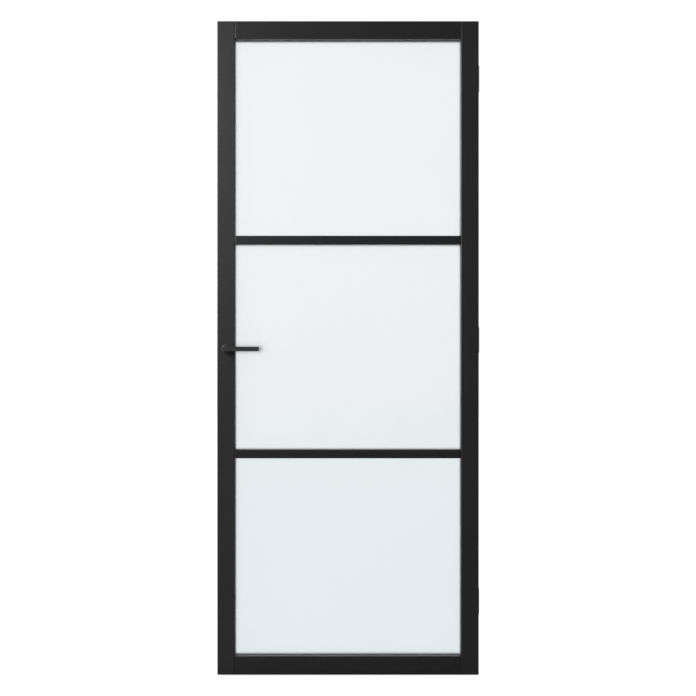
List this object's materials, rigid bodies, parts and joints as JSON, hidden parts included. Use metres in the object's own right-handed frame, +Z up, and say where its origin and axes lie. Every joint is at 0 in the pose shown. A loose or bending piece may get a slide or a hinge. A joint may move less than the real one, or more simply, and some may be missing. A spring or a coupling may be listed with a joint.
{
  "type": "glass interior door",
  "caption": "Slim black framed interior door leaf with satin glass panes between glazing bars, a lever on each face, a magnetic mortise latch and butt hinges.",
  "frame": {"origin": "centre of the screw pattern on the bottom hinge's frame-side plate, on the face that lies against the jamb", "axes": "+X out of the hinge-side edge into the jamb, +Y from the front face to the rear face with the knuckles, +Z up"},
  "size_m": [0.819, 0.14, 2.032],
  "materials": {
    "frame_lacquer": "semi-matt black lacquer on engineered timber",
    "satin_glass": "satin-etched toughened glass",
    "gasket_rubber": "soft black gasket",
    "beech": "plain beech",
    "black_metal": "satin black powder coat",
    "steel": "zinc-plated steel",
    "hinge_steel": "brushed stainless steel",
    "blackened_steel": "blackened steel",
    "nylon": "natural nylon",
    "magnet": "nickel-plated"
  },
  "bodies": {
    "jamb_hinges": {"hinge_bottom_frame_leaf": "hinge_steel", "hinge_middle_frame_leaf": "hinge_steel", "hinge_top_frame_leaf": "hinge_steel", "hinge_pins": "hinge_steel"},
    "leaf": {"bead_lower_bottom": "frame_lacquer", "bead_lower_hinge_side": "frame_lacquer", "bead_lower_lock_side": "frame_lacquer", "bead_lower_top": "frame_lacquer", "bead_middle_bottom": "frame_lacquer", "bead_middle_hinge_side": "frame_lacquer", "bead_middle_lock_side": "frame_lacquer", "bead_middle_top": "frame_lacquer", "bead_pins": "blackened_steel", "bead_upper_bottom": "frame_lacquer", "bead_upper_hinge_side": "frame_lacquer", "bead_upper_lock_side": "frame_lacquer", "bead_upper_top": "frame_lacquer", "forend_screws": "blackened_steel", "frame_dowels": "beech", "gasket_front_lower": "gasket_rubber", "gasket_front_middle": "gasket_rubber", "gasket_front_upper": "gasket_rubber", "gasket_rear_lower": "gasket_rubber", "gasket_rear_middle": "gasket_rubber", "gasket_rear_upper": "gasket_rubber", "glazing_bar_lower": "frame_lacquer", "glazing_bar_upper": "frame_lacquer", "hinge_bottom_door_leaf": "hinge_steel", "hinge_middle_door_leaf": "hinge_steel", "hinge_screws": "hinge_steel", "hinge_top_door_leaf": "hinge_steel", "latch_spring": "steel", "lever_bushes": "nylon", "lock_case": "steel", "lock_case_lid": "steel", "lock_forend": "black_metal", "lock_lid_screws": "steel", "pane_lower": "satin_glass", "pane_middle": "satin_glass", "pane_upper": "satin_glass", "rail_bottom": "frame_lacquer", "rail_top": "frame_lacquer", "return_spring": "steel", "rose_base_back": "steel", "rose_base_front": "steel", "rose_cap_back": "black_metal", "rose_cap_front": "black_metal", "rose_screws": "steel", "setting_blocks": "nylon", "stile_hinge_side": "frame_lacquer", "stile_lock_side": "frame_lacquer"},
    "handle": {"lever_front": "black_metal", "lever_back": "black_metal", "lever_grub_screws": "blackened_steel", "spindle": "steel", "follower": "steel"},
    "latch": {"latch_bolt": "black_metal", "latch_magnet": "magnet", "latch_lug": "steel"}
  },
  "joints": [
    {"name": "door_swing", "type": "hinge", "parent": "jamb_hinges", "child": "leaf", "pos_m": [-0.0025, 0.0198, 0], "axis": [0, 0, -1], "range_deg": [0, 175]},
    {"name": "handle_turn", "type": "hinge", "parent": "leaf", "child": "handle", "pos_m": [-0.788, -0.0065, 0.788], "axis": [0, 1, 0], "range_deg": [0, 40], "stiffness_Nm_per_rad": 1.2, "springref_deg": -22.92, "deforming": ["return_spring"]},
    {"name": "latch_slide", "type": "slide", "parent": "leaf", "child": "latch", "axis": [-1, 0, 0], "range_m": [0, 0.01], "stiffness_N_per_m": 60, "springref_m": -0.006, "deforming": ["latch_spring"]}
  ]
}
